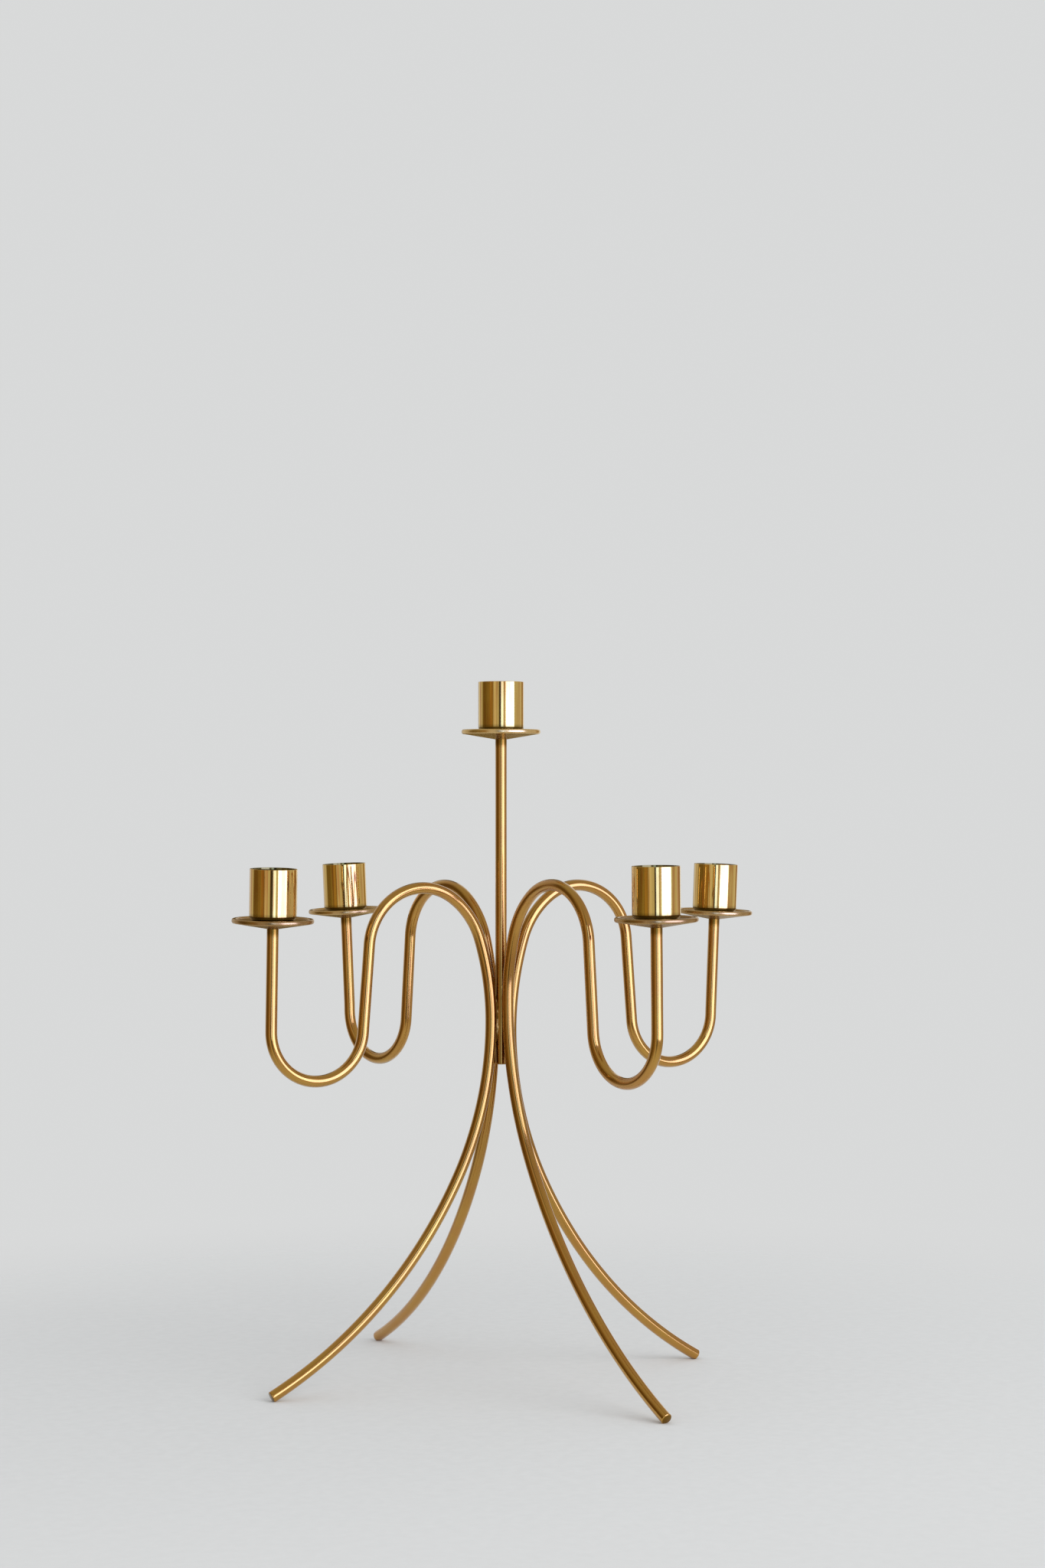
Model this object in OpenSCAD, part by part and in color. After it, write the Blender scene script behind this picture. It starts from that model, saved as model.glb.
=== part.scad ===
// Five-light tabletop candelabra, hand-bent from round brass rod.
// Four rods are brazed round a straight centre stem. Each rod is one piece from foot to cup:
// it stands on its foot, curves in to the stem, arches over, drops, and turns up to its cup.
// +Z is up, the origin is on the table under the stem, and +X runs along the right arm.

/* [Rod] */
// Diameter of every rod and of the centre stem
rod_d = 6; // [5:0.5:6]
// Chamfer round the cut end of each foot
foot_chamfer = 0.4; // [0.2:0.1:0.8]
// Height of a foot's end above the table, at the middle of the rod
foot_rise = 2.3; // [2.2:0.05:2.4]

/* [Stem] */
// Height of the stem's cut lower end above the table
stem_bottom = 166; // [160:1:168]
// Height of the stem's top, where the top pan sits
stem_top = 337; // [300:1:380]

/* [Arms: right, back, left, front] */
// Direction of each arm round the stem, in degrees
arm_turns = [1, 100, 180, 276]; // [0:1:359]
// Direction of each leg from the hub, in degrees
leg_turns = [-2, 92, 176, 277]; // [-10:1:359]
// Height at which each rod touches the stem
hub_heights = [184, 187, 189, 200]; // [184:1:200]
// Height of the rod's centre at the crown of each arch
crown_heights = [259.5, 259, 259.5, 261.5]; // [256:0.5:266]
// Distance of each foot from the stem's axis
foot_reaches = [120, 131, 129, 136]; // [115:1:140]
// Outward lean of each cup, in degrees
cup_leans = [1.5, 0.5, 0, 0.5]; // [-1:0.5:4]
// Sideways lean of each cup, anticlockwise as seen from above, in degrees
cup_side_leans = [-1.5, 2.5, 2, -1]; // [-3:0.5:3]
// Length of the straight post below each arm's pan
post_lengths = [49.4, 47.1, 48.8, 51.2]; // [46:0.1:54]

/* [Bends] */
// Turn of the first bend above the hub, in degrees
rise_turn = 18; // [14:1:22]
// Radius of the shoulder bend
shoulder_r = 43; // [38:1:48]
// Turn of the shoulder bend, in degrees
shoulder_turn = 37; // [32:1:42]
// Radius of the crown bend
crown_r = 31; // [29:0.5:32]
// Slope of the inner drop, outward from vertical, in degrees
drop_slope = 4.5; // [2:0.5:7]
// Length of the straight inner drop
drop_length = 45; // [40:1:50]
// Radius of the U bend under each cup
u_bend_r = 26; // [24:0.5:28]
// Radius of the slight sideways bend below each post
side_bend_r = 100; // [80:5:120]
// Radius of the leg's first bend below the hub
thigh_r = 182; // [170:1:200]
// Turn of the leg's first bend, in degrees
thigh_turn = 26; // [22:1:30]

/* [Drip pan] */
// Diameter over the rolled rim
pan_d = 41.5; // [38:0.5:44]
// Diameter of the rolled rim's bead
pan_bead_d = 2.4; // [2:0.1:2.6]
// Height from the pan's underside to the top of its rim
pan_height = 5.2; // [4.8:0.1:5.4]
// Height of the pan's floor above its underside
pan_floor = 4.2; // [4:0.1:4.4]

/* [Candle cup] */
// Bore for a standard 22 mm candle
cup_bore = 22; // [21:0.5:23]
// Wall and floor thickness
cup_wall = 1; // [0.8:0.1:1.2]
// Height over the cup's floor and lip
cup_height = 26.1; // [24:0.1:30]
// Outside radius between the cup's floor and wall
cup_corner_r = 2.5; // [2.4:0.1:2.6]

/* [Cup screw] */
// Diameter of the screw's shank
screw_d = 3; // [2.5:0.5:3]
// Length of the shank under the head
screw_length = 12; // [10:0.5:14]
// Diameter of the low cheese head
head_d = 5.5; // [5:0.1:6]
// Height of the low cheese head
head_height = 1; // [0.9:0.1:1.2]
// Width of the driver slot
slot_width = 0.8; // [0.6:0.1:1]
// Depth of the driver slot
slot_depth = 0.5; // [0.4:0.1:0.6]

/* [Braze] */
// Length of each braze seam along the stem
braze_length = 26; // [20:1:30]
// Distance of a seam's face from the line where rod and stem are nearest
braze_face = 2.2; // [2:0.1:2.4]
// Capillary gap between each rod and the stem, filled by the braze
braze_gap = 0.04; // [0.03:0.01:0.1]

/* [Hidden] */
RIGHT = 0;
BACK = 1;
LEFT = 2;
FRONT = 3;
ROD_R = rod_d / 2;
// Radial clearance between a screw and the holes that it passes through
SCREW_PLAY = 0.1;
// Thread engagement is drawn as a plain bore, just wider than the shank
TAP_PLAY = 0.05;
// Spare depth of the tapped hole past the screw's tip
TAP_SPARE = 1.5;
// Chamfer at the cup's lip
LIP_CHAMFER = 0.25;
// A seam starts this far from that line, where the groove is wide enough to draw
BRAZE_START = 0.8;
// Reach of the block that trims the feet flush with the table
TRIM = 400;
// How far a cut runs on past the surface that it opens
OVERSHOOT = 1;
$fn = 96;
// Facets in a full turn of a rod's bend, in previews
BEND_FN = 720;
// The band over each joint of two bends
BAND_LENGTH = 0.3;
BAND_PROUD = 0.01;

// A bend is [radius, turn]; a positive turn leans outward. A straight is [0, length].
function rise_radius(arm) =
    let (rise_end = rise_turn + shoulder_turn)
    (crown_heights[arm] - hub_heights[arm]
        - shoulder_r * (sin(rise_end) - sin(rise_turn))
        - crown_r * (1 - sin(rise_end))) / sin(rise_turn);

function arm_bends(arm) = [
    [rise_radius(arm), rise_turn],
    [shoulder_r, shoulder_turn],
    [crown_r, 180 - drop_slope - rise_turn - shoulder_turn],
    [0, drop_length],
    [u_bend_r, drop_slope + cup_leans[arm] - 180]
];

// Across its arm's plane, the rod has one slight bend below the post
function side_bends(arm) = [[side_bend_r, cup_side_leans[arm]]];

// The leg's second bend is the one arc that runs on from the first and ends at the foot.
function leg_bends(arm) =
    let (
        out = foot_reaches[arm] - rod_d - braze_gap - thigh_r * (1 - cos(thigh_turn)),
        down = hub_heights[arm] - foot_rise - thigh_r * sin(thigh_turn),
        half_turn = atan2(out, down) - thigh_turn
    )
    [[thigh_r, thigh_turn], [norm([out, down]) / (2 * sin(half_turn)), 2 * half_turn]];

module bend_shape(bend) {
    if (bend[0] == 0)
        cylinder(h = bend[1], r = ROD_R);
    else
        rotate([0, 0, bend[1] < 0 ? 180 : 0])
            translate([bend[0], 0, 0])
                rotate([90, 0, 180])
                    rotate_extrude(angle = abs(bend[1]), $fn = BEND_FN)
                        translate([bend[0], 0])
                            circle(r = ROD_R);
}

// A hair-thin band wraps the joint of two bends, so that they meet as one solid
module joint_band() {
    translate([0, 0, -BAND_LENGTH / 2]) cylinder(h = BAND_LENGTH, r = ROD_R + BAND_PROUD);
}

module after_bend(bend) {
    if (bend[0] == 0)
        translate([0, 0, bend[1]]) children();
    else
        translate([sign(bend[1]) * bend[0] * (1 - cos(bend[1])), 0, bend[0] * sin(abs(bend[1]))])
            rotate([0, bend[1], 0])
                children();
}

// The rod's own shape along a list of bends, with the end piece that is given
module rod_along(bends, first = 0) {
    if (first < len(bends)) {
        bend_shape(bends[first]);
        after_bend(bends[first]) {
            joint_band();
            rod_along(bends, first + 1) children();
        }
    }
    else
        children();
}

// What is given, placed at the far end of a list of bends
module at_end_of(bends, first = 0) {
    if (first < len(bends))
        after_bend(bends[first]) at_end_of(bends, first + 1) children();
    else
        children();
}

module at_hub(arm) {
    rotate([0, 0, arm_turns[arm]])
        translate([rod_d + braze_gap, 0, hub_heights[arm]])
            children();
}

module at_arm_top(arm) {
    at_hub(arm)
        at_end_of(arm_bends(arm))
            rotate([0, 0, 90])
                at_end_of(side_bends(arm))
                    rotate([0, 0, -90])
                        translate([0, 0, post_lengths[arm]])
                            children();
}

module at_stem_top() {
    translate([0, 0, stem_top]) children();
}

module tapped_hole() {
    depth = screw_length - pan_floor - cup_wall + TAP_SPARE;
    translate([0, 0, -depth])
        cylinder(h = depth + OVERSHOOT, d = screw_d + 2 * TAP_PLAY);
}

module post(arm) {
    rotate([0, 0, 90])
        rod_along(side_bends(arm))
            cylinder(h = post_lengths[arm], r = ROD_R);
}

module foot_end() {
    cylinder(h = foot_chamfer, r1 = ROD_R, r2 = ROD_R - foot_chamfer);
}

module upper_rod(arm) {
    at_hub(arm) rod_along(arm_bends(arm)) post(arm);
}

module lower_rod(arm) {
    at_hub(arm)
        rotate([180, 0, leg_turns[arm] - arm_turns[arm]])
            rod_along(leg_bends(arm)) foot_end();
}

module rod(arm) {
    color("#b98440")
        difference() {
            union() {
                upper_rod(arm);
                at_hub(arm) joint_band();
                lower_rod(arm);
            }
            at_arm_top(arm) tapped_hole();
            translate([-TRIM / 2, -TRIM / 2, -rod_d]) cube([TRIM, TRIM, rod_d]);
        }
}

module centre_stem() {
    color("#b98440")
        difference() {
            translate([0, 0, stem_bottom]) cylinder(h = stem_top - stem_bottom, r = ROD_R);
            at_stem_top() tapped_hole();
        }
}

// Filler metal in the two grooves between a rod and the stem
module braze(arm) {
    color("#e3c98a")
        difference() {
            rotate([0, 0, arm_turns[arm]])
                translate([0, 0, hub_heights[arm] - braze_length / 2])
                    for (side = [-1, 1])
                        translate([ROD_R / 2, side > 0 ? BRAZE_START : -braze_face, 0])
                            cube([ROD_R, braze_face - BRAZE_START, braze_length]);
            cylinder(h = stem_top, r = ROD_R);
            upper_rod(arm);
            lower_rod(arm);
        }
}

module drip_pan() {
    bead_r = pan_bead_d / 2;
    bead_at = [pan_d / 2 - bead_r, pan_height - bead_r];
    floor_r = cup_bore / 2 + cup_wall;
    color("#8c6a44")
        rotate_extrude() {
            polygon([
                [screw_d / 2 + SCREW_PLAY, 0],
                [ROD_R, 0],
                [bead_at.x, bead_at.y - bead_r],
                [bead_at.x, bead_at.y],
                [floor_r, pan_floor],
                [screw_d / 2 + SCREW_PLAY, pan_floor]
            ]);
            translate(bead_at) circle(r = bead_r);
        }
}

module candle_cup() {
    bore_r = cup_bore / 2;
    outer_r = bore_r + cup_wall;
    inner_corner_r = cup_corner_r - cup_wall;
    color("#c9a24e")
        translate([0, 0, pan_floor])
            difference() {
                union() {
                    rotate_extrude() {
                        square([outer_r - cup_corner_r, cup_corner_r]);
                        intersection() {
                            translate([outer_r - cup_corner_r, cup_corner_r]) circle(r = cup_corner_r);
                            square([outer_r, cup_corner_r]);
                        }
                    }
                    translate([0, 0, cup_corner_r])
                        cylinder(h = cup_height - cup_corner_r - LIP_CHAMFER, r = outer_r);
                    translate([0, 0, cup_height - LIP_CHAMFER])
                        cylinder(h = LIP_CHAMFER, r1 = outer_r, r2 = outer_r - LIP_CHAMFER);
                }
                translate([0, 0, cup_wall + inner_corner_r])
                    cylinder(h = cup_height, r = bore_r);
                translate([0, 0, cup_wall])
                    rotate_extrude() {
                        square([bore_r - inner_corner_r, inner_corner_r]);
                        intersection() {
                            translate([bore_r - inner_corner_r, inner_corner_r]) circle(r = inner_corner_r);
                            square([bore_r, inner_corner_r]);
                        }
                    }
                translate([0, 0, -OVERSHOOT])
                    cylinder(h = cup_wall + 2 * OVERSHOOT, d = screw_d + 2 * SCREW_PLAY);
            }
}

module cup_screw() {
    color("#b5964f")
        translate([0, 0, pan_floor + cup_wall])
            difference() {
                union() {
                    cylinder(h = head_height, d = head_d);
                    translate([0, 0, -screw_length]) cylinder(h = screw_length, d = screw_d);
                }
                translate([-head_d / 2, -slot_width / 2, head_height - slot_depth])
                    cube([head_d, slot_width, slot_depth + OVERSHOOT]);
            }
}

rod(RIGHT);  // rod_right
rod(BACK);  // rod_back
rod(LEFT);  // rod_left
rod(FRONT);  // rod_front
centre_stem();
braze(RIGHT);  // braze_right
braze(BACK);  // braze_back
braze(LEFT);  // braze_left
braze(FRONT);  // braze_front
at_arm_top(RIGHT) drip_pan();  // drip_pan_right
at_arm_top(BACK) drip_pan();  // drip_pan_back
at_arm_top(LEFT) drip_pan();  // drip_pan_left
at_arm_top(FRONT) drip_pan();  // drip_pan_front
at_stem_top() drip_pan();  // drip_pan_top
at_arm_top(RIGHT) candle_cup();  // candle_cup_right
at_arm_top(BACK) candle_cup();  // candle_cup_back
at_arm_top(LEFT) candle_cup();  // candle_cup_left
at_arm_top(FRONT) candle_cup();  // candle_cup_front
at_stem_top() candle_cup();  // candle_cup_top
at_arm_top(RIGHT) cup_screw();  // cup_screw_right
at_arm_top(BACK) cup_screw();  // cup_screw_back
at_arm_top(LEFT) cup_screw();  // cup_screw_left
at_arm_top(FRONT) cup_screw();  // cup_screw_front
at_stem_top() cup_screw();  // cup_screw_top
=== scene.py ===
import math

import bmesh
import bpy
from mathutils import Matrix, Vector, noise


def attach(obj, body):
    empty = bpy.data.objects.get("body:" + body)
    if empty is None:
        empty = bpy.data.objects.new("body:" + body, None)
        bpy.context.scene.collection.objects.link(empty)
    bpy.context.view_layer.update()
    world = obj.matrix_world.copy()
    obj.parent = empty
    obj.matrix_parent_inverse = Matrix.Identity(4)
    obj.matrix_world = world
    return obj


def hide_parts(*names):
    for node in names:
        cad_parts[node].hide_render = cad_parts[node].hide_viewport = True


# Five-light candelabra of bent brass rod. This script follows the CAD's paths and profiles to give
# the rods, stem, braze, pans and cups fine smooth meshes, and gives every piece its metal finish.
# The pieces' lengths are millimetres in the CAD frame, and become metres where a mesh is made.
# The camera, floor and lights are placed in metres.

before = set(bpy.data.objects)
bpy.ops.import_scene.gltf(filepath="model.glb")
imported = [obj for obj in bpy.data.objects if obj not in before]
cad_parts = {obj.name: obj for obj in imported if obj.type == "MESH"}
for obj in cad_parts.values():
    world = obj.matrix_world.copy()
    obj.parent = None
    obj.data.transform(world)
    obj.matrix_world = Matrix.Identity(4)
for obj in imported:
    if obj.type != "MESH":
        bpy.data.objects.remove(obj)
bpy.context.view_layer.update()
MM = 0.001

# ---- Driving dimensions, as in the CAD ----

ROD_R = 3.0
STEM_BOTTOM = 166.0
STEM_TOP = 337.0
BRAZE_GAP = 0.04
HUB_RADIUS = 2 * ROD_R + BRAZE_GAP
FOOT_RISE = 2.3
FOOT_CHAMFER = 0.4

# For each arm: its direction, its leg's direction, the heights of its hub and crown, its foot's
# distance from the stem, its cup's outward and sideways leans, and the length of its post.
ARM_FIELDS = ("turn", "leg_turn", "hub", "crown", "reach", "lean", "side_lean", "post")
ARM_VALUES = {
    "right": (1, -2, 184.0, 259.5, 120.0, 1.5, -1.5, 49.4),
    "back": (100, 92, 187.0, 259.0, 131.0, 0.5, 2.5, 47.1),
    "left": (180, 176, 189.0, 259.5, 129.0, 0.0, 2.0, 48.8),
    "front": (276, 277, 200.0, 261.5, 136.0, 0.5, -1.0, 51.2),
}
ARMS = {side: dict(zip(ARM_FIELDS, values)) for side, values in ARM_VALUES.items()}
RISE_TURN = 18
SHOULDER_R = 43
SHOULDER_TURN = 37
CROWN_R = 31
DROP_SLOPE = 4.5
DROP_LENGTH = 45
U_BEND_R = 26
SIDE_BEND_R = 100
THIGH_R = 182
THIGH_TURN = 26

PAN_R = 20.75
BEAD_R = 1.2
PAN_HEIGHT = 5.2
PAN_FLOOR = 4.2
# The pan's fillet, as (distance in from the bead, height above the floor).
PAN_FILLET = [(0.4, 0.1), (1.2, 0.0)]
RIM_SQUARENESS = 1.3

CUP_BORE_R = 11.0
CUP_WALL = 1.0
CUP_R = CUP_BORE_R + CUP_WALL
CUP_HEIGHT = 26.1
CUP_CORNER_R = 2.5
LIP_ROUND = 0.22

SCREW_HOLE_R = 1.6
TAPPED_R = 1.55
TAPPED_DEPTH = 8.3

BRAZE_LENGTH = 26.0

# ---- Stains and painted shade: 0 is clean brass and 1 is fully brown, or fully dark where shade is painted ----
# A mark is the distance where it has faded to nothing and the distance where it is full. They run
# along the rod: from the hub for LEG_MARK and ARM_MARK, from the stem's lower end for STEM_MARK, from
# the top for UNDER_PAN_SHADE_MARK, and outward from where a sawn end's chamfer starts for SAWN_MARK.
# CUP_FOOT_SHADE_MARK runs up from the cup's foot, and CUP_INSIDE_SHADE_MARK out from its axis.
# The marks under each pan, at the cup's foot and inside the cup are painted shade, not stains.

PAN_BROWNED = {"right": 0.8, "back": 0.7, "left": 1.0, "front": 1.0, "top": 0.15}
ROD_HEAT = 0.3
LEG_MARK = (120, 70)
ARM_MARK = (50, 10)
STEM_HEAT = 0.7
STEM_MARK = (65, 51)
UNDER_PAN_SHADE_MARK = (4.5, 2.0)
SAWN_MARK = (0.3, FOOT_CHAMFER)
CUP_FOOT_SHADE_MARK = (CUP_CORNER_R + 0.6, CUP_CORNER_R - 0.6)
CUP_INSIDE_SHADE_MARK = (CUP_BORE_R + 0.1, CUP_BORE_R)

# ---- How finely the meshes are drawn ----

ROD_SIDES = 48
ROD_SPACING = 1.2
LATHE_SIDES = 144
BRAZE_STEPS = 64
CUP_WALL_STEPS = 16
CREASE_ANGLE = 32

# ---- How far apart two pieces' grains lie ----

TURNED_GRAIN_STEP = Vector((97, 31, 0))
BRAZE_GRAIN_STEP = Vector((53, 11, 0))

# ---- How uneven the handwork is ----

DRAWN_WAVE = 0.035
DRAWN_WAVE_LENGTH = 17.0
BRAZE_FILLET = 0.62
BRAZE_LUMP = 0.55
BRAZE_LUMP_LENGTH = 2.6
BRAZE_THINNEST = 0.12

# ---- Rod paths ----
# A bend is (radius, turn in degrees), and a positive turn leans outward. A straight is (0, length).

TURN_OVER = Matrix.Rotation(math.pi, 4, "X")
QUARTER_TURN = Matrix.Rotation(math.pi / 2, 4, "Z")


def shift(x, y, z):
    return Matrix.Translation((x, y, z))


def turned(degrees, axis):
    return Matrix.Rotation(math.radians(degrees), 4, axis)


def along_bend(bend, share=1.0):
    """The transform from a bend's start to a share of the way along it."""
    radius, turn = bend
    if radius == 0:
        return shift(0, 0, turn * share)
    angle = math.radians(turn) * share
    out = math.copysign(radius, turn) * (1 - math.cos(angle))
    return shift(out, 0, radius * math.sin(abs(angle))) @ Matrix.Rotation(angle, 4, "Y")


def bend_length(bend):
    radius, turn = bend
    return turn if radius == 0 else radius * math.radians(abs(turn))


def frames_along(start, bends):
    """The frames, about ROD_SPACING apart, of a rod that starts at one frame and follows bends."""
    frames = [start]
    for bend in bends:
        steps = math.ceil(bend_length(bend) / ROD_SPACING)
        frames += [start @ along_bend(bend, (step + 1) / steps) for step in range(steps)]
        start = start @ along_bend(bend)
    return frames


def sine(degrees):
    return math.sin(math.radians(degrees))


def rise_radius(arm):
    rise_end = RISE_TURN + SHOULDER_TURN
    shoulder_rise = SHOULDER_R * (sine(rise_end) - sine(RISE_TURN))
    crown_rise = CROWN_R * (1 - sine(rise_end))
    return (arm["crown"] - arm["hub"] - shoulder_rise - crown_rise) / sine(RISE_TURN)


def arm_bends(arm):
    return [
        (rise_radius(arm), RISE_TURN),
        (SHOULDER_R, SHOULDER_TURN),
        (CROWN_R, 180 - DROP_SLOPE - RISE_TURN - SHOULDER_TURN),
        (0, DROP_LENGTH),
        (U_BEND_R, DROP_SLOPE + arm["lean"] - 180),
    ]


def leg_bends(arm):
    """The thigh, then the one arc that runs on from it to the foot."""
    out = arm["reach"] - HUB_RADIUS - THIGH_R * (1 - math.cos(math.radians(THIGH_TURN)))
    down = arm["hub"] - FOOT_RISE - THIGH_R * sine(THIGH_TURN)
    half_turn = math.degrees(math.atan2(out, down)) - THIGH_TURN
    return [(THIGH_R, THIGH_TURN), (math.hypot(out, down) / (2 * sine(half_turn)), 2 * half_turn)]


def hub_frame(arm):
    return turned(arm["turn"], "Z") @ shift(HUB_RADIUS, 0, arm["hub"])


def arm_frames(arm):
    """From hub to cup: the bends in the arm's plane, a slight bend to its side, and the post."""
    arch = frames_along(hub_frame(arm), arm_bends(arm))
    side_bend = (SIDE_BEND_R, arm["side_lean"])
    lean = frames_along(arch[-1] @ QUARTER_TURN, [side_bend])
    lean = [turned_frame @ QUARTER_TURN.inverted() for turned_frame in lean]
    post = frames_along(lean[-1], [(0, arm["post"])])
    return arch + lean[1:] + post[1:]


def rod_frames(arm):
    """The whole rod from foot to post, with every frame's Z running up the rod."""
    leg_start = hub_frame(arm) @ turned(arm["leg_turn"] - arm["turn"], "Z") @ TURN_OVER
    leg = [leg_frame @ TURN_OVER for leg_frame in reversed(frames_along(leg_start, leg_bends(arm)))]
    return leg + arm_frames(arm)[1:]


# ---- Meshes ----
# The grain attribute is a point's place as if its rod were straight, or in its own piece's frame,
# with a different offset for each piece, so that no two pieces wear the same marks.
# The stain_and_shade attribute runs from 0, clean, to 1, tarnished; under each pan and at a cup's foot and
# inside it, it is painted shade instead.


def ramped(value, clean, stained):
    """0 at the clean end and 1 at the stained end, with a straight ramp between."""
    return min(max((value - clean) / (stained - clean), 0.0), 1.0)


def finish_mesh(name, bm, place=Matrix.Identity(4)):
    bmesh.ops.recalc_face_normals(bm, faces=bm.faces)
    mesh = bpy.data.meshes.new(name)
    bm.to_mesh(mesh)
    bm.free()
    mesh.transform(Matrix.LocRotScale(place.translation * MM, place.to_quaternion(), None))
    mesh.shade_smooth()
    mesh.set_sharp_from_angle(angle=math.radians(CREASE_ANGLE))
    piece = bpy.data.objects.new(name, mesh)
    bpy.context.scene.collection.objects.link(piece)
    return piece


def new_bmesh():
    bm = bmesh.new()
    bm.verts.layers.float_vector.new("grain")
    bm.verts.layers.float.new("stain_and_shade")
    return bm


def add_ring(bm, points, grain_points, stain_and_shade=0.0):
    """One vertex for each point, in metres, with its grain and its value of tarnish and painted shade."""
    grain_layer = bm.verts.layers.float_vector["grain"]
    stain_and_shade_layer = bm.verts.layers.float["stain_and_shade"]
    ring = []
    for point, grain_point in zip(points, grain_points):
        vert = bm.verts.new(point * MM)
        vert[grain_layer] = grain_point * MM
        vert[stain_and_shade_layer] = stain_and_shade
        ring.append(vert)
    return ring


def bridge(bm, low, high):
    """The band of faces between two rings, either of which may be a single point."""
    count = max(len(low), len(high))
    for k in range(count):
        low_edge = [low[k % len(low)], low[(k + 1) % len(low)]]
        high_edge = [high[(k + 1) % len(high)], high[k % len(high)]]
        bm.faces.new(list(dict.fromkeys(low_edge + high_edge)))


def sweep(name, stations, sides, seed, stain_and_shade, closed=False, place=Matrix.Identity(4), floor=None):
    """A round skin through stations of (frame, radius, distance along). No radius makes a point, and
    a floor is a height that flattens whatever would lie below it."""
    bm = new_bmesh()
    offset = TURNED_GRAIN_STEP * seed
    rings = []
    for ring_frame, radius, along in stations:
        angles = [2 * math.pi * k / sides for k in range(sides if radius > 0 else 1)]
        flat = [Vector((radius * math.cos(a), radius * math.sin(a), 0)) for a in angles]
        points = [ring_frame @ point for point in flat]
        if floor is not None:
            points = [Vector((point.x, point.y, max(point.z, floor))) for point in points]
        grain_points = [point + offset + Vector((0, 0, along)) for point in flat]
        rings.append(add_ring(bm, points, grain_points, stain_and_shade(ring_frame, radius, along)))
    for low, high in zip(rings, rings[1:]):
        bridge(bm, low, high)
    if closed:
        bridge(bm, rings[-1], rings[0])
    return finish_mesh(name, bm, place)


def lathe(name, profile, seed, place, stain_and_shade):
    """A turned piece from a closed profile of (radius, height) points."""
    stations = [(shift(0, 0, height), radius, height) for radius, height in profile]
    return sweep(name, stations, LATHE_SIDES, seed, stain_and_shade, closed=True, place=place)


def arc(centre, radius, start, end, steps, squareness=1.0):
    """Points on an arc, in degrees from the +radius direction; squareness over 1 fills the corners."""
    points = []
    for step in range(steps + 1):
        angle = math.radians(start + (end - start) * step / steps)
        across = math.copysign(abs(math.cos(angle)) ** (1 / squareness), math.cos(angle))
        up = math.copysign(abs(math.sin(angle)) ** (1 / squareness), math.sin(angle))
        points.append((centre[0] + radius * across, centre[1] + radius * up))
    return points


# ---- Pieces ----


def rod_radius(along, seed):
    """A drawn, hand-bent rod is never quite even."""
    return ROD_R + DRAWN_WAVE * noise.noise(Vector((along / DRAWN_WAVE_LENGTH, 5.3 * seed, 0.5)))


def rod_stations(frames, seed):
    stations = []
    along = 0.0
    for previous, current in zip([frames[0]] + frames, frames):
        along += (current.translation - previous.translation).length
        stations.append((current, rod_radius(along, seed), along))
    return stations


def cut_end(start_frame):
    """A sawn lower end, its edge broken by a few strokes of a file."""
    steps = [(0.04, -0.02), (0.2, -0.13), (0.34, -0.3), (FOOT_CHAMFER, -0.5), (FOOT_CHAMFER, -ROD_R)]
    return [(start_frame @ shift(0, 0, -beyond), ROD_R + inset, -beyond) for beyond, inset in steps]


def tapped_end(end_frame, along):
    """A square end with the blind hole that takes the cup screw."""
    edge = [(0, ROD_R), (0, TAPPED_R), (-TAPPED_DEPTH, TAPPED_R), (-TAPPED_DEPTH, 0)]
    return [(end_frame @ shift(0, 0, depth), radius, along + depth) for depth, radius in edge]


def finish_rod(name, frames, seed, torch_mark, floor=None):
    """A rod with its ends closed. Its sawn end is dark, it has painted shade under its pan, and
    torch_mark gives the browning that the brazing torch left at a distance along it."""
    body = rod_stations(frames, seed)
    length = body[-1][2]

    def stain_and_shade(ring_frame, radius, along):
        sawn_face = ramped(-along, *SAWN_MARK)
        # Painted shade: the rod is darkened for a few millimetres just under its pan.
        under_pan_shade = ramped(length - along, *UNDER_PAN_SHADE_MARK)
        return max(sawn_face, under_pan_shade, torch_mark(along))

    foot = cut_end(frames[0])
    stations = foot[::-1] + body[:-1] + tapped_end(frames[-1], length)
    return sweep(name, stations, ROD_SIDES, seed, stain_and_shade, floor=floor)


def make_rod(name, arm, seed):
    leg_length = sum(bend_length(bend) for bend in leg_bends(arm))

    def torch_mark(along):
        leg_side = ramped(leg_length - along, *LEG_MARK)
        arm_side = ramped(along - leg_length, *ARM_MARK)
        return ROD_HEAT * min(leg_side, arm_side)

    return finish_rod(name, rod_frames(arm), seed, torch_mark, floor=0.0)


def make_stem(name, seed):
    bottom = STEM_BOTTOM + FOOT_CHAMFER
    steps = math.ceil((STEM_TOP - bottom) / ROD_SPACING)
    frames = [shift(0, 0, bottom + (STEM_TOP - bottom) * k / steps) for k in range(steps + 1)]

    def torch_mark(along):
        return STEM_HEAT * ramped(along, *STEM_MARK)

    return finish_rod(name, frames, seed, torch_mark)


def make_pan(name, place, seed, browned):
    """A turned disc, bevelled underneath, with a round rim that stands just above its flat top."""
    rim = arc((PAN_R - BEAD_R, PAN_HEIGHT - BEAD_R), BEAD_R, -90, 160, 26, squareness=RIM_SQUARENESS)
    fillet = [(rim[-1][0] - inward, PAN_FLOOR + height) for inward, height in PAN_FILLET]
    underside = [(SCREW_HOLE_R, 0), (ROD_R, 0)]
    profile = underside + rim + fillet + [(SCREW_HOLE_R, PAN_FLOOR)]

    def stain_and_shade(ring_frame, radius, height):
        return browned

    return lathe(name, profile, seed, place, stain_and_shade)


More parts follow.
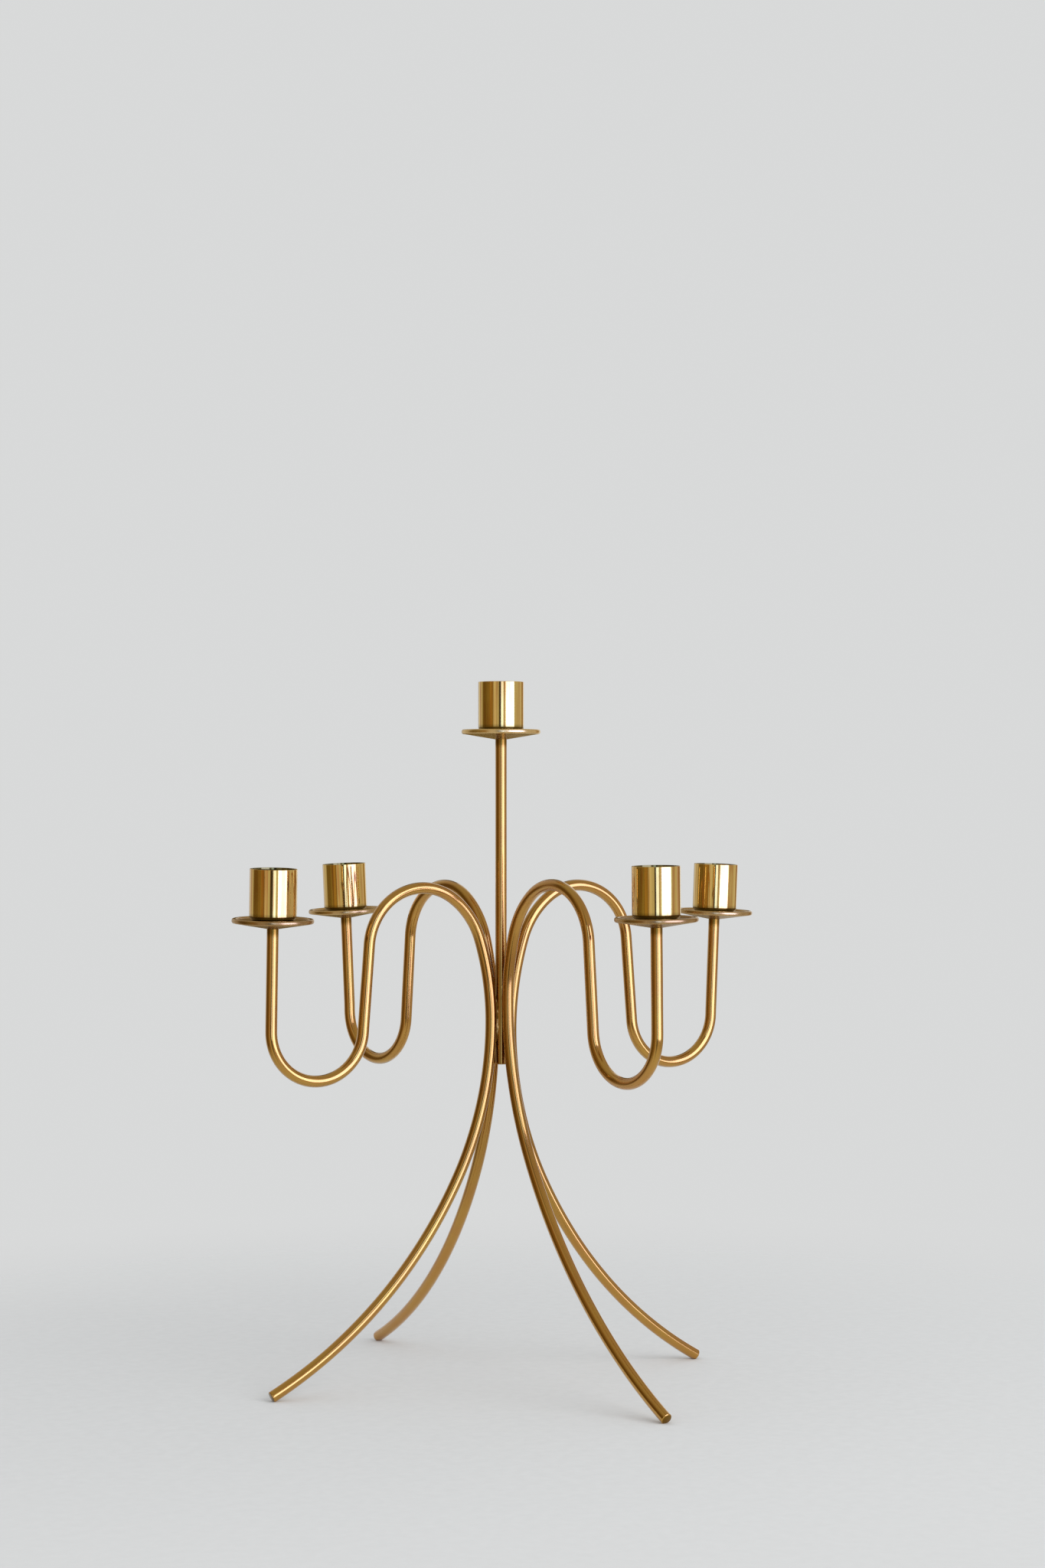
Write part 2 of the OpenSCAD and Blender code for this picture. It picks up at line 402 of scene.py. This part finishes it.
def make_cup(name, place, seed):
    """A drawn tube with a rounded foot and lip, with painted shade inside and at its foot."""
    corner = (CUP_R - CUP_CORNER_R, CUP_CORNER_R)
    wall_low = CUP_CORNER_R
    wall_high = CUP_HEIGHT - LIP_ROUND
    wall_shares = [k / CUP_WALL_STEPS for k in range(1, CUP_WALL_STEPS)]
    outer_wall = [(CUP_R, wall_low + (wall_high - wall_low) * share) for share in wall_shares]
    inner_wall = [(CUP_BORE_R, height) for _, height in reversed(outer_wall)]
    profile = [(SCREW_HOLE_R, 0), (CUP_R - 2 * CUP_CORNER_R, 0)]
    profile += arc(corner, CUP_CORNER_R, -90, 0, 12)
    profile += outer_wall
    profile += arc((CUP_R - LIP_ROUND, wall_high), LIP_ROUND, 0, 90, 5)
    profile += arc((CUP_BORE_R + LIP_ROUND / 2, CUP_HEIGHT - LIP_ROUND / 2), LIP_ROUND / 2, 90, 180, 4)
    profile += inner_wall
    profile += arc(corner, CUP_CORNER_R - CUP_WALL, 0, -90, 10)
    profile += [(CUP_R - 2 * CUP_CORNER_R, CUP_WALL), (SCREW_HOLE_R, CUP_WALL)]

    # Painted shade: dark inside the cup and at its foot.
    def stain_and_shade(ring_frame, radius, height):
        return max(ramped(radius, *CUP_INSIDE_SHADE_MARK), ramped(height, *CUP_FOOT_SHADE_MARK))

    return lathe(name, profile, seed, place @ shift(0, 0, PAN_FLOOR), stain_and_shade)


def braze_section(spread, fillet):
    """The filler's outline between stem and rod, whose axes are spread apart, on the +Y side.
    The stem's axis is at the origin. The free face is an arc that touches both rounds."""
    reach = math.sqrt(max((ROD_R + fillet) ** 2 - (spread / 2) ** 2, 0.01))
    touch = math.atan2(reach, spread / 2)
    root = 0.25 * touch
    skin = ROD_R - 0.03
    contact = [root + (touch - root) * k / 6 for k in range(7)]
    stem_side = [(skin * math.cos(a), skin * math.sin(a)) for a in contact]
    opening = math.pi / 2 - touch
    face = []
    for k in range(1, 8):
        angle = -math.pi / 2 - opening + 2 * opening * k / 8
        face.append((spread / 2 + fillet * math.cos(angle), reach + fillet * math.sin(angle)))
    rod_side = [(spread - x, y) for x, y in reversed(stem_side)]
    return stem_side + face + rod_side


def make_braze(name, arm, seed):
    """Two lumpy fillets of filler, thicker where the torch held and thin at their ends."""
    bm = new_bmesh()
    place = turned(arm["turn"], "Z")
    offset = BRAZE_GRAIN_STEP * seed
    for side in (-1, 1):
        rings = []
        for step in range(BRAZE_STEPS + 1):
            share = step / BRAZE_STEPS
            rise = (share - 0.5) * BRAZE_LENGTH
            radius = rise_radius(arm) if rise > 0 else THIGH_R
            spread = HUB_RADIUS + radius - math.sqrt(radius ** 2 - rise ** 2)
            lump = noise.noise(Vector((rise / BRAZE_LUMP_LENGTH, side * 4.0, 9.0 * seed)))
            taper = math.sin(math.pi * min(max(share, 0.004), 0.996)) ** 0.6
            fillet = max(BRAZE_THINNEST, (BRAZE_FILLET + BRAZE_LUMP * lump) * taper)
            outline = braze_section(spread, fillet)
            points = [Vector((x, side * y, arm["hub"] + rise)) for x, y in outline]
            placed = [place @ point for point in points]
            rings.append(add_ring(bm, placed, [point + offset for point in points]))
        for low, high in zip(rings, rings[1:]):
            bridge(bm, low, high)
        bm.faces.new(rings[0])
        bm.faces.new(rings[-1])
    return finish_mesh(name, bm)


# ---- Node helpers ----


class Nodes:
    """A node tree that is built by name."""

    def __init__(self, tree):
        self.tree = tree
        tree.nodes.clear()

    def add(self, kind, settings=None, **inputs):
        """A new node. Each input is named for a socket, with _ in place of a space."""
        node = self.tree.nodes.new(kind)
        for key, value in (settings or {}).items():
            setattr(node, key, value)
        for key, value in inputs.items():
            self.feed(node, key.replace("_", " "), value)
        return node

    def feed(self, node, socket, value):
        target = node.inputs[socket]
        if isinstance(value, bpy.types.NodeSocket):
            self.tree.links.new(value, target)
        else:
            target.default_value = value

    def math(self, operation, a, b, clamp=False):
        node = self.add("ShaderNodeMath", {"operation": operation, "use_clamp": clamp})
        self.feed(node, 0, a)
        self.feed(node, 1, b)
        return node.outputs[0]

    def stretched(self, vector, scale):
        node = self.add("ShaderNodeVectorMath", {"operation": "MULTIPLY"})
        self.feed(node, 0, vector)
        self.feed(node, 1, scale)
        return node.outputs[0]

    def noise(self, vector, scale, detail, roughness=0.55):
        node = self.add("ShaderNodeTexNoise", Vector=vector, Scale=scale)
        self.feed(node, "Detail", detail)
        self.feed(node, "Roughness", roughness)
        return node.outputs["Fac"]

    def ramp(self, factor, stops):
        """A colour ramp whose stops are (position, colour or grey)."""
        node = self.add("ShaderNodeValToRGB", Fac=factor)
        elements = node.color_ramp.elements
        while len(elements) < len(stops):
            elements.new(1.0)
        for element, (position, colour) in zip(elements, stops):
            element.position = position
            grey = not isinstance(colour, tuple)
            element.color = (colour, colour, colour, 1) if grey else (*colour, 1)
        return node.outputs["Color"]

    def mix(self, factor, a, b):
        node = self.add("ShaderNodeMix", {"data_type": "RGBA"})
        self.feed(node, 0, factor)
        self.feed(node, 6, a if isinstance(a, bpy.types.NodeSocket) else (*a, 1))
        self.feed(node, 7, b if isinstance(b, bpy.types.NodeSocket) else (*b, 1))
        return node.outputs[2]

    def bump(self, height, strength, distance):
        node = self.add("ShaderNodeBump", Height=height, Strength=strength, Distance=distance)
        return node.outputs["Normal"]


def new_material(name):
    material = bpy.data.materials.new(name)
    material.use_nodes = True
    nodes = Nodes(material.node_tree)
    return material, nodes


def metal(nodes, colour, roughness, normal, lacquer=0.0):
    """Every metal here ends in one Principled shader, some under a thin clear lacquer, whose share is
    a number or a socket."""
    shader = nodes.add(
        "ShaderNodeBsdfPrincipled", Metallic=1.0, Base_Color=colour, Roughness=roughness, Normal=normal
    )
    nodes.feed(shader, "Coat Weight", lacquer)
    nodes.feed(shader, "Coat Roughness", LACQUER_ROUGHNESS)
    output = nodes.add("ShaderNodeOutputMaterial")
    nodes.feed(output, "Surface", shader.outputs[0])


def grain_of(nodes):
    return nodes.add("ShaderNodeAttribute", {"attribute_name": "grain"}).outputs["Vector"]


def stain_and_shade_of(nodes):
    return nodes.add("ShaderNodeAttribute", {"attribute_name": "stain_and_shade"}).outputs["Fac"]


def between(nodes, value, low, high):
    """A roughness that runs from low to high over the middle of a noise."""
    node = nodes.add("ShaderNodeMapRange", Value=value, From_Min=0.3, From_Max=0.7)
    nodes.feed(node, "To Min", low)
    nodes.feed(node, "To Max", high)
    return node.outputs[0]


# ---- Materials ----

GOLD = (0.55, 0.290, 0.032)
COPPER = (0.53, 0.250, 0.032)
BROWN = (0.42, 0.22, 0.07)
# Heat-browned brass, which is also the colour of the painted shade under each pan.
HEATED_AND_SHADE = (0.24, 0.125, 0.018)
CUP_GOLD = (0.88, 0.63, 0.18)
CUP_AMBER = (0.66, 0.33, 0.08)
CUP_SHADOW = (0.13, 0.105, 0.02)
PAN_GOLD = (0.86, 0.62, 0.27)
PAN_TAN = (0.54, 0.355, 0.15)
PAN_BROWN = (0.34, 0.195, 0.072)
BRAZE_PALE = (0.85, 0.60, 0.20)
LACQUER_ROUGHNESS = 0.15


def rod_brass():
    """Drawn bar: soft mottling, fine lengthwise draw lines and a few flecks. Heat browned it and burnt off
    its lacquer where it is stained, and under each pan the same dark, unlacquered colour is painted shade."""
    material, nodes = new_material("rod_brass")
    grain = grain_of(nodes)
    mottle = nodes.ramp(nodes.noise(grain, 60.0, 2.0), [(0.35, 0.0), (0.65, 1.0)])
    colour = nodes.mix(mottle, GOLD, COPPER)
    draw_lines = nodes.noise(nodes.stretched(grain, (1100.0, 1100.0, 18.0)), 1.0, 2.0)
    colour = nodes.mix(nodes.ramp(draw_lines, [(0.55, 0.0), (0.8, 0.4)]), colour, BROWN)
    flecks = nodes.ramp(nodes.noise(grain, 900.0, 1.0), [(0.72, 0.0), (0.76, 1.0)])
    colour = nodes.mix(nodes.math("MULTIPLY", flecks, 0.5), colour, BROWN)
    # This mask also carries the painted shade under each pan, in the same dark colour and without lacquer.
    heat_and_shade = stain_and_shade_of(nodes)
    colour = nodes.mix(heat_and_shade, colour, HEATED_AND_SHADE)
    tarnish = nodes.noise(grain, 160.0, 3.0)
    normal = nodes.bump(tarnish, 0.06, 0.00003)
    lacquer = nodes.math("SUBTRACT", 1.0, heat_and_shade, clamp=True)
    metal(nodes, colour, between(nodes, tarnish, 0.08, 0.13), normal, lacquer)
    return material


def cup_brass():
    """Polished drawn tube: long upright streaks, an amber bloom and fine dark specks, with painted shade
    inside and at its foot.
    """
    material, nodes = new_material("cup_brass")
    grain = grain_of(nodes)
    streaks = nodes.noise(nodes.stretched(grain, (640.0, 640.0, 9.0)), 1.0, 3.0, 0.6)
    patches = nodes.noise(nodes.stretched(grain, (90.0, 90.0, 40.0)), 1.0, 2.0)
    bloom = nodes.ramp(patches, [(0.4, 0.45), (0.6, 1.0)])
    amber = nodes.math("MULTIPLY", nodes.ramp(streaks, [(0.47, 0.0), (0.55, 0.9)]), bloom)
    colour = nodes.mix(amber, CUP_GOLD, CUP_AMBER)
    specks = nodes.ramp(nodes.noise(grain, 1100.0, 1.0), [(0.72, 0.0), (0.76, 1.0)])
    colour = nodes.mix(nodes.math("MULTIPLY", specks, 0.6), colour, BROWN)
    # Painted shade inside the cup and at its foot, in CUP_SHADOW.
    colour = nodes.mix(stain_and_shade_of(nodes), colour, CUP_SHADOW)
    normal = nodes.bump(streaks, 0.05, 0.00001)
    metal(nodes, colour, between(nodes, streaks, 0.05, 0.08), normal, lacquer=0.6)
    return material


def pan_brass():
    """Turned disc, cloudy and specked with brown, and browner all over where it is stained."""
    material, nodes = new_material("pan_brass")
    grain = grain_of(nodes)
    cloud = nodes.noise(grain, 120.0, 4.0)
    browned = nodes.mix(nodes.ramp(cloud, [(0.3, 0.0), (0.7, 0.8)]), PAN_TAN, PAN_BROWN)
    colour = nodes.mix(stain_and_shade_of(nodes), PAN_GOLD, browned)
    specks = nodes.ramp(nodes.noise(grain, 900.0, 2.0), [(0.62, 0.0), (0.70, 1.0)])
    colour = nodes.mix(nodes.math("MULTIPLY", specks, 0.4), colour, PAN_BROWN)
    normal = nodes.bump(cloud, 0.06, 0.00005)
    metal(nodes, colour, between(nodes, cloud, 0.22, 0.30), normal)
    return material


def braze_metal():
    """Browned filler, granular, with pale spots where the flux was washed off."""
    material, nodes = new_material("braze")
    grain = grain_of(nodes)
    grit = nodes.noise(grain, 700.0, 4.0, 0.65)
    washed = nodes.ramp(nodes.noise(grain, 190.0, 1.0), [(0.54, 0.0), (0.6, 1.0)])
    colour = nodes.mix(washed, HEATED_AND_SHADE, BRAZE_PALE)
    normal = nodes.bump(grit, 0.4, 0.0001)
    metal(nodes, colour, between(nodes, grit, 0.35, 0.6), normal)
    return material


def screw_brass():
    """Plain screw with a fine grit."""
    material, nodes = new_material("screw_brass")
    place = nodes.add("ShaderNodeTexCoord").outputs["Object"]
    grit = nodes.noise(place, 2600.0, 2.0)
    colour = nodes.mix(grit, CUP_GOLD, BROWN)
    normal = nodes.bump(grit, 0.3, 0.00003)
    metal(nodes, colour, between(nodes, grit, 0.25, 0.4), normal)
    return material


def dress(piece, material):
    """Gives a piece the one material it wears."""
    piece.data.materials.clear()
    piece.data.materials.append(material)


def place_piece(piece, node, material):
    """Puts a fine piece in the place of its CAD node."""
    dress(piece, material)
    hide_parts(node)
    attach(piece, "root")


# ---- The object ----

ROD_SEED = 1
STEM_SEED = 5
TOP_SEED = 11

rod_material = rod_brass()
cup_material = cup_brass()
pan_material = pan_brass()
braze_material = braze_metal()
screw_material = screw_brass()

tops = {side: arm_frames(arm)[-1] for side, arm in ARMS.items()}
tops["top"] = shift(0, 0, STEM_TOP)

for seed, (side, arm) in enumerate(ARMS.items(), start=ROD_SEED):
    rod = make_rod("rod_" + side + "_fine", arm, seed)
    place_piece(rod, "rod_" + side, rod_material)
    braze = make_braze("braze_" + side + "_fine", arm, seed)
    place_piece(braze, "braze_" + side, braze_material)
place_piece(make_stem("centre_stem_fine", STEM_SEED), "centre_stem", rod_material)

for seed, (side, top) in enumerate(tops.items(), start=TOP_SEED):
    pan = make_pan("drip_pan_" + side + "_fine", top, seed, PAN_BROWNED[side])
    place_piece(pan, "drip_pan_" + side, pan_material)
    cup = make_cup("candle_cup_" + side + "_fine", top, seed)
    place_piece(cup, "candle_cup_" + side, cup_material)
    dress(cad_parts["cup_screw_" + side], screw_material)

# ---- Camera ----

VIEW_AZIMUTH = 30.0
CAMERA_DISTANCE = 1.549
CAMERA_SIDE = 0.0113
CAMERA_HEIGHT = 0.310
CAMERA_PITCH = 0.13
LENS = 67.5

look = Vector((math.sin(math.radians(VIEW_AZIMUTH)), math.cos(math.radians(VIEW_AZIMUTH)), 0))
right = Vector((look.y, -look.x, 0))
up = Vector((0, 0, 1))
camera_data = bpy.data.cameras.new("camera")
camera_data.lens = LENS
camera = bpy.data.objects.new("camera", camera_data)
camera.location = -CAMERA_DISTANCE * look + CAMERA_SIDE * right + CAMERA_HEIGHT * up
camera.rotation_euler = (math.radians(90 + CAMERA_PITCH), 0, -math.radians(VIEW_AZIMUTH))
bpy.context.scene.collection.objects.link(camera)
bpy.context.scene.camera = camera

# ---- Floor ----

FLOOR_R = 3.0
FLOOR_DARK = (0.775, 0.785, 0.785)
FLOOR_LIGHT = (0.805, 0.815, 0.815)
FADE_START = 0.16
FADE_END = 0.62


def floor_material():
    """Pale matt paint that fades into the backdrop away from the object."""
    material, nodes = new_material("floor")
    place = nodes.add("ShaderNodeTexCoord").outputs["Object"]
    speckle = nodes.noise(place, 160.0, 4.0)
    colour = nodes.ramp(speckle, [(0.3, FLOOR_DARK), (0.7, FLOOR_LIGHT)])
    paint = nodes.add("ShaderNodeBsdfDiffuse", Color=colour)
    clear = nodes.add("ShaderNodeBsdfTransparent")
    distance = nodes.add("ShaderNodeVectorMath", {"operation": "LENGTH"})
    nodes.feed(distance, 0, place)
    fade = nodes.add(
        "ShaderNodeMapRange",
        {"interpolation_type": "SMOOTHSTEP"},
        Value=distance.outputs["Value"],
        From_Min=FADE_START,
        From_Max=FADE_END,
    )
    blend = nodes.add("ShaderNodeMixShader", Fac=fade.outputs[0])
    nodes.feed(blend, 1, paint.outputs[0])
    nodes.feed(blend, 2, clear.outputs[0])
    output = nodes.add("ShaderNodeOutputMaterial")
    nodes.feed(output, "Surface", blend.outputs[0])
    return material


def make_floor():
    bm = bmesh.new()
    bmesh.ops.create_circle(bm, cap_ends=True, segments=96, radius=FLOOR_R)
    mesh = bpy.data.meshes.new("floor")
    bm.to_mesh(mesh)
    bm.free()
    floor = bpy.data.objects.new("floor", mesh)
    bpy.context.scene.collection.objects.link(floor)
    dress(floor, floor_material())


make_floor()

# ---- Light ----
# Bearings are degrees round the object from the camera, and positive is to the camera's right.
# ROOM gives the colour of the walls at each bearing. CEILING takes over where the upward share of a
# direction grows from CEILING_START to CEILING_FULL.

BACKDROP = (0.69, 0.69 * 1.01, 0.69 * 1.01)
SOFT_LIGHT = (0.65, 0.655, 0.66)
SHADE = (0.16, 0.108, 0.03)
DOORWAY = (0.06, 0.05, 0.02)
OCHRE = (0.27, 0.20, 0.07)
WOOD = (0.32, 0.198, 0.06)
TAN = (0.60, 0.55, 0.50)
PLASTER = (0.50, 0.46, 0.40)
PALE = (0.60, 0.59, 0.56)
BRIGHT = (0.80, 0.80, 0.78)
ROOM = [
    (-180, SHADE), (-168, SHADE), (-162, TAN), (-140, PALE), (-128, PLASTER), (-112, PLASTER),
    (-104, SHADE), (-80, SHADE), (-66, OCHRE), (-62, SHADE), (-58, WOOD), (-44, WOOD),
    (-41, SHADE), (-37, TAN), (-26, TAN), (-22, PLASTER), (-12, PLASTER), (-9, DOORWAY), (-2, DOORWAY),
    (14, PLASTER), (18, TAN), (76, PLASTER), (104, PLASTER), (124, TAN), (130, WOOD), (146, WOOD),
    (150, BRIGHT), (173, BRIGHT), (178, SHADE), (180, SHADE),
]
CEILING = (0.47, 0.45, 0.36)
CEILING_START = 0.45
CEILING_FULL = 0.9
WINDOW_DISTANCE = 1.8


def bearing_direction(bearing):
    angle = math.radians(bearing)
    return -math.cos(angle) * look + math.sin(angle) * right


def make_world():
    """A plain pale backdrop to the eye, a room of darker and lighter walls in reflections, and a soft
    even light for all other rays."""
    world = bpy.data.worlds.new("world")
    world.use_nodes = True
    nodes = Nodes(world.node_tree)
    direction = nodes.add("ShaderNodeTexCoord").outputs["Generated"]
    toward = nodes.add("ShaderNodeVectorMath", {"operation": "DOT_PRODUCT"})
    nodes.feed(toward, 0, direction)
    nodes.feed(toward, 1, -look)
    aside = nodes.add("ShaderNodeVectorMath", {"operation": "DOT_PRODUCT"})
    nodes.feed(aside, 0, direction)
    nodes.feed(aside, 1, right)
    angle = nodes.math("ARCTAN2", aside.outputs["Value"], toward.outputs["Value"])
    turn = nodes.math("MULTIPLY_ADD", angle, 1 / (2 * math.pi))
    nodes.feed(turn.node, 2, 0.5)
    stops = [((bearing + 180) / 360, colour) for bearing, colour in ROOM]
    walls = nodes.ramp(turn, stops)
    height = nodes.add("ShaderNodeSeparateXYZ", Vector=direction).outputs["Z"]
    overhead = nodes.add("ShaderNodeMapRange", Value=height, From_Min=CEILING_START, From_Max=CEILING_FULL)
    room = nodes.mix(overhead.outputs[0], walls, CEILING)
    ray = nodes.add("ShaderNodeLightPath").outputs
    colour = nodes.mix(ray["Is Glossy Ray"], SOFT_LIGHT, room)
    colour = nodes.mix(ray["Is Camera Ray"], colour, BACKDROP)
    background = nodes.add("ShaderNodeBackground", Color=colour)
    output = nodes.add("ShaderNodeOutputWorld")
    nodes.feed(output, "Surface", background.outputs[0])
    bpy.context.scene.world = world


def make_window(name, bearings, height, centre_height, power, colour, reflected):
    """A tall soft window that spans two bearings, facing the object. A reflected one shows only in
    the metal, and any other lights only the floor."""
    data = bpy.data.lights.new(name, "AREA")
    data.shape = "RECTANGLE"
    half = math.radians(bearings[1] - bearings[0]) / 2
    data.size = 2 * WINDOW_DISTANCE * math.tan(half)
    data.size_y = height
    data.energy = power
    data.color = colour
    light = bpy.data.objects.new(name, data)
    direction = bearing_direction(sum(bearings) / 2)
    light.location = direction * WINDOW_DISTANCE + centre_height * up
    light.rotation_euler = (centre_height * up - light.location).to_track_quat("-Z", "Y").to_euler()
    light.visible_camera = False
    light.visible_glossy = reflected
    light.visible_diffuse = not reflected
    bpy.context.scene.collection.objects.link(light)


make_world()
make_window("window", (24, 70), 1.5, 0.55, 44.0, (0.38, 0.44, 1.0), reflected=True)
make_window("side_window", (0, 12), 1.4, 0.55, 5.5, (0.34, 0.50, 1.0), reflected=True)
make_window("key", (20, 75), 1.5, 1.2, 22.0, (1.0, 1.0, 1.0), reflected=False)

bpy.context.scene.view_settings.view_transform = "Standard"
